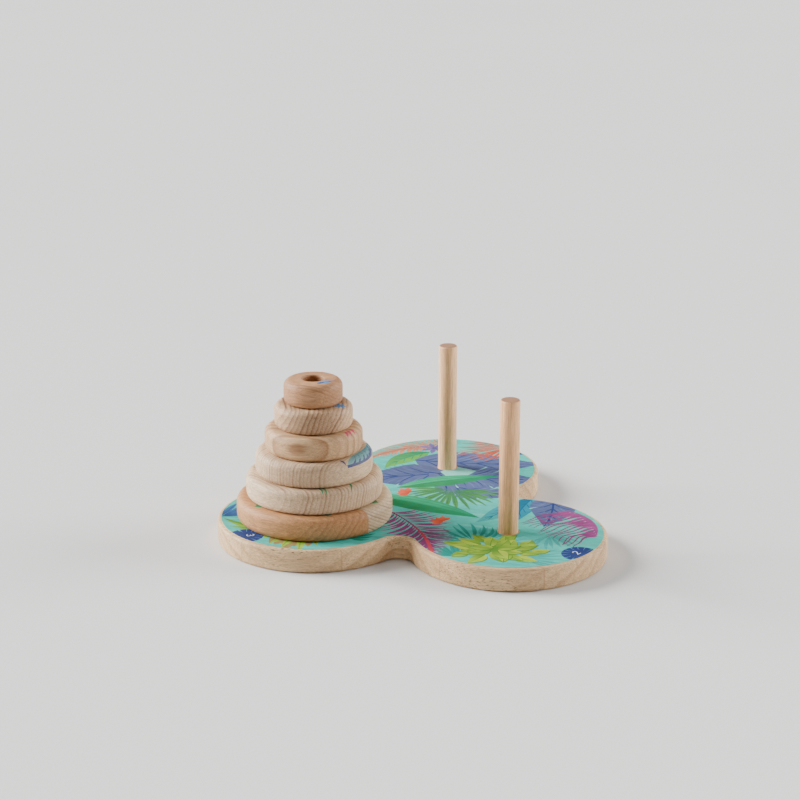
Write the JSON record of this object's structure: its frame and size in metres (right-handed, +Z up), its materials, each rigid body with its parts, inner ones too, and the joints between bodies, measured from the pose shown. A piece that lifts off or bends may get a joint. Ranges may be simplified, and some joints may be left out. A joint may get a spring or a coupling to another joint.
{
  "type": "tower of hanoi puzzle",
  "caption": "Wooden tower of hanoi puzzle: a three-lobed board with a leafy printed top, a peg in each lobe and a stepped stack of discs on one of them.",
  "frame": {"origin": "centre of the board's flat underside, on the axis that the three lobes are spaced around", "axes": "+Z up out of the board, along the pegs; +Y from the centre towards the rear peg; +X towards the right-hand lobe's side, along the board's longest extent"},
  "size_m": [0.2012, 0.1877, 0.0857],
  "materials": {
    "board_wood": "fine sanded, clear satin lacquer",
    "leaf_print": "matt printed picture of tropical leaves",
    "peg_wood": "satin dowel",
    "warm_disc_wood": "fine sanded, satin",
    "pale_disc_wood": "fine sanded, satin",
    "tan_disc_wood": "fine sanded, satin"
  },
  "bodies": {
    "board": {"base_board": "board_wood", "printed_sheet": "leaf_print"},
    "peg_rear": {"peg_rear": "peg_wood"},
    "peg_left": {"peg_left": "peg_wood"},
    "peg_right": {"peg_right": "peg_wood"},
    "disc_80_mm": {"disc_80_mm": "warm_disc_wood"},
    "disc_70_mm": {"disc_70_mm": "pale_disc_wood"},
    "disc_60_mm": {"disc_60_mm": "pale_disc_wood"},
    "disc_50_mm": {"disc_50_mm": "tan_disc_wood"},
    "disc_40_mm": {"disc_40_mm": "tan_disc_wood"},
    "disc_30_mm": {"disc_30_mm": "tan_disc_wood"}
  },
  "joints": [
    {"name": "peg_rear_pull_out", "type": "slide", "parent": "board", "child": "peg_rear", "axis": [0, 0, 1], "range_m": [0, 0.012]},
    {"name": "peg_left_pull_out", "type": "slide", "parent": "board", "child": "peg_left", "axis": [0, 0, 1], "range_m": [0, 0.085]},
    {"name": "peg_right_pull_out", "type": "slide", "parent": "board", "child": "peg_right", "axis": [0, 0, 1], "range_m": [0, 0.012]},
    {"name": "disc_80_mm_lift", "type": "slide", "parent": "board", "child": "disc_80_mm", "axis": [0, 0, 1], "range_m": [0, 0.0742]},
    {"name": "disc_70_mm_lift", "type": "slide", "parent": "disc_80_mm", "child": "disc_70_mm", "axis": [0, 0, 1], "range_m": [0, 0.062]},
    {"name": "disc_60_mm_lift", "type": "slide", "parent": "disc_70_mm", "child": "disc_60_mm", "axis": [0, 0, 1], "range_m": [0, 0.0498]},
    {"name": "disc_50_mm_lift", "type": "slide", "parent": "disc_60_mm", "child": "disc_50_mm", "axis": [0, 0, 1], "range_m": [0, 0.0375]},
    {"name": "disc_40_mm_lift", "type": "slide", "parent": "disc_50_mm", "child": "disc_40_mm", "axis": [0, 0, 1], "range_m": [0, 0.0253]},
    {"name": "disc_30_mm_lift", "type": "slide", "parent": "disc_40_mm", "child": "disc_30_mm", "axis": [0, 0, 1], "range_m": [0, 0.013]}
  ]
}
